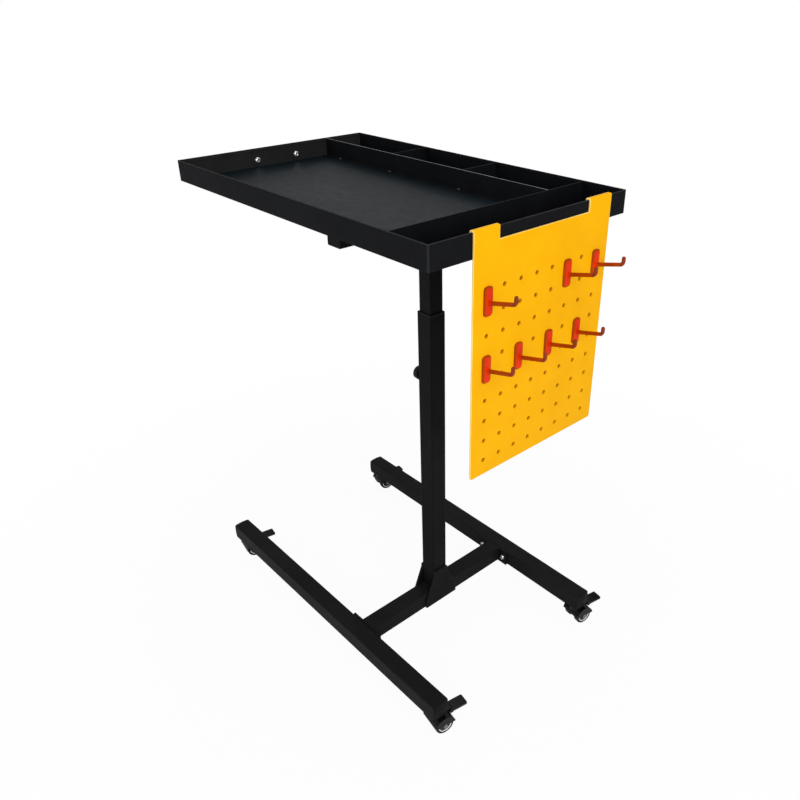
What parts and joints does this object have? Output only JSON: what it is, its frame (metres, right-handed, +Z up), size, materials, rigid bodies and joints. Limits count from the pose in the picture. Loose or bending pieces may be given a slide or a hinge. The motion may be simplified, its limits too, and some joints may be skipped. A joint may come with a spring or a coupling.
{
  "type": "mobile lift table",
  "caption": "Mobile lift table: divided steel tray on a height-adjustable square column with a lock knob, a tube base on braked swivel casters, and a hang-on pegboard with hooks.",
  "frame": {"origin": "middle of the table's overall footprint, on the floor, with the column at its stored height", "axes": "+X towards the end that carries the pegboard, -Y towards the front, where the widest compartment lies, +Z up"},
  "size_m": [0.8513, 0.5265, 0.996],
  "materials": {
    "tray_coat": "satin charcoal powder coat",
    "frame_coat": "satin black powder coat",
    "black_screw": "blackened steel",
    "zinc_steel": "bright zinc plate",
    "black_plastic": "fine matt grain",
    "caster_plastic": "gloss black",
    "wheel_rubber": "smooth dark tread",
    "board_coat": "satin yellow powder coat",
    "backing_sheet": "plain ochre sheet",
    "hook_plastic": "semi-gloss orange red"
  },
  "bodies": {
    "base": {"front_foot": "frame_coat", "back_foot": "frame_coat", "foot_caps": "black_plastic", "crossbar": "frame_coat", "front_flange": "frame_coat", "back_flange": "frame_coat", "flange_bolts": "zinc_steel", "left_cheek_plate": "frame_coat", "right_cheek_plate": "frame_coat", "outer_column": "frame_coat", "column_bush": "black_plastic", "knob_boss": "frame_coat", "caster_stems": "zinc_steel"},
    "tray": {"tray_pan": "tray_coat", "cross_divider": "tray_coat", "long_divider": "tray_coat", "left_partition": "tray_coat", "right_partition": "tray_coat", "divider_screws": "black_screw", "divider_nuts": "zinc_steel", "tray_handle": "frame_coat", "handle_bolts": "zinc_steel", "support_bar": "frame_coat", "support_bar_caps": "black_plastic", "tray_screws": "black_screw", "head_plate": "frame_coat", "head_bolts": "zinc_steel", "inner_column": "frame_coat", "column_glide": "black_plastic"},
    "lock_stud": {"lock_stud": "zinc_steel"},
    "lock_knob": {"lock_knob": "black_plastic"},
    "front_left_swivel": {"front_left_hood": "caster_plastic", "front_left_axle": "zinc_steel"},
    "front_left_rollers": {"front_left_wheels": "wheel_rubber"},
    "front_left_pedal": {"front_left_brake_pedal": "caster_plastic"},
    "front_right_swivel": {"front_right_hood": "caster_plastic", "front_right_axle": "zinc_steel"},
    "front_right_rollers": {"front_right_wheels": "wheel_rubber"},
    "front_right_pedal": {"front_right_brake_pedal": "caster_plastic"},
    "back_left_swivel": {"back_left_hood": "caster_plastic", "back_left_axle": "zinc_steel"},
    "back_left_rollers": {"back_left_wheels": "wheel_rubber"},
    "back_left_pedal": {"back_left_brake_pedal": "caster_plastic"},
    "back_right_swivel": {"back_right_hood": "caster_plastic", "back_right_axle": "zinc_steel"},
    "back_right_rollers": {"back_right_wheels": "wheel_rubber"},
    "back_right_pedal": {"back_right_brake_pedal": "caster_plastic"},
    "board": {"pegboard": "board_coat", "board_backing": "backing_sheet"},
    "hook_top_1_unit": {"hook_top_1": "hook_plastic"},
    "hook_top_6_unit": {"hook_top_6": "hook_plastic"},
    "hook_top_8_unit": {"hook_top_8": "hook_plastic"},
    "hook_low_1_unit": {"hook_low_1": "hook_plastic"},
    "hook_low_3_unit": {"hook_low_3": "hook_plastic"},
    "hook_low_5_unit": {"hook_low_5": "hook_plastic"},
    "hook_low_7_unit": {"hook_low_7": "hook_plastic"}
  },
  "joints": [
    {"name": "column_lift", "type": "slide", "parent": "base", "child": "tray", "axis": [0, 0, 1], "range_m": [-0.16, 0.25]},
    {"name": "stud_travel", "type": "slide", "parent": "base", "child": "lock_stud", "axis": [-1, 0, 0], "range_m": [0, 0.002]},
    {"name": "knob_turn", "type": "hinge", "parent": "lock_stud", "child": "lock_knob", "pos_m": [0.07235, -0.0265, 0.617], "axis": [-1, 0, 0], "range_deg": [0, 480]},
    {"name": "front_left_turn", "type": "hinge", "parent": "base", "child": "front_left_swivel", "pos_m": [-0.37165, -0.2445, 0.048], "axis": [0, 0, 1], "continuous": true},
    {"name": "front_left_roll", "type": "hinge", "parent": "front_left_swivel", "child": "front_left_rollers", "pos_m": [-0.36965, -0.23318, 0.02], "axis": [0.9848, -0.1736, 0], "continuous": true},
    {"name": "front_left_brake", "type": "hinge", "parent": "front_left_swivel", "child": "front_left_pedal", "pos_m": [-0.36579, -0.21127, 0.037], "axis": [-0.9848, 0.1736, 0], "range_deg": [0, 12]},
    {"name": "front_right_turn", "type": "hinge", "parent": "base", "child": "front_right_swivel", "pos_m": [0.35235, -0.2445, 0.048], "axis": [0, 0, 1], "continuous": true},
    {"name": "front_right_roll", "type": "hinge", "parent": "front_right_swivel", "child": "front_right_rollers", "pos_m": [0.35435, -0.23318, 0.02], "axis": [0.9848, -0.1736, 0], "continuous": true},
    {"name": "front_right_brake", "type": "hinge", "parent": "front_right_swivel", "child": "front_right_pedal", "pos_m": [0.35821, -0.21127, 0.037], "axis": [-0.9848, 0.1736, 0], "range_deg": [0, 12]},
    {"name": "back_left_turn", "type": "hinge", "parent": "base", "child": "back_left_swivel", "pos_m": [-0.37165, 0.1915, 0.048], "axis": [0, 0, 1], "continuous": true},
    {"name": "back_left_roll", "type": "hinge", "parent": "back_left_swivel", "child": "back_left_rollers", "pos_m": [-0.36965, 0.20282, 0.02], "axis": [0.9848, -0.1736, 0], "continuous": true},
    {"name": "back_left_brake", "type": "hinge", "parent": "back_left_swivel", "child": "back_left_pedal", "pos_m": [-0.36579, 0.22473, 0.037], "axis": [-0.9848, 0.1736, 0], "range_deg": [0, 12]},
    {"name": "back_right_turn", "type": "hinge", "parent": "base", "child": "back_right_swivel", "pos_m": [0.35235, 0.1915, 0.048], "axis": [0, 0, 1], "continuous": true},
    {"name": "back_right_roll", "type": "hinge", "parent": "back_right_swivel", "child": "back_right_rollers", "pos_m": [0.35435, 0.20282, 0.02], "axis": [0.9848, -0.1736, 0], "continuous": true},
    {"name": "back_right_brake", "type": "hinge", "parent": "back_right_swivel", "child": "back_right_pedal", "pos_m": [0.35821, 0.22473, 0.037], "axis": [-0.9848, 0.1736, 0], "range_deg": [0, 12]},
    {"name": "board_lift_off", "type": "slide", "parent": "tray", "child": "board", "axis": [0, 0, 1], "range_m": [0, 0.014]},
    {"name": "hook_top_1_pull", "type": "slide", "parent": "board", "child": "hook_top_1_unit", "axis": [1, 0, 0], "range_m": [0, 0.02]},
    {"name": "hook_top_6_pull", "type": "slide", "parent": "board", "child": "hook_top_6_unit", "axis": [1, 0, 0], "range_m": [0, 0.02]},
    {"name": "hook_top_8_pull", "type": "slide", "parent": "board", "child": "hook_top_8_unit", "axis": [1, 0, 0], "range_m": [0, 0.02]},
    {"name": "hook_low_1_pull", "type": "slide", "parent": "board", "child": "hook_low_1_unit", "axis": [1, 0, 0], "range_m": [0, 0.02]},
    {"name": "hook_low_3_pull", "type": "slide", "parent": "board", "child": "hook_low_3_unit", "axis": [1, 0, 0], "range_m": [0, 0.02]},
    {"name": "hook_low_5_pull", "type": "slide", "parent": "board", "child": "hook_low_5_unit", "axis": [1, 0, 0], "range_m": [0, 0.02]},
    {"name": "hook_low_7_pull", "type": "slide", "parent": "board", "child": "hook_low_7_unit", "axis": [1, 0, 0], "range_m": [0, 0.02]}
  ],
  "couplings": [
    {"joint": "stud_travel", "follows": "knob_turn", "m_per_rad": 0.00019894}
  ]
}
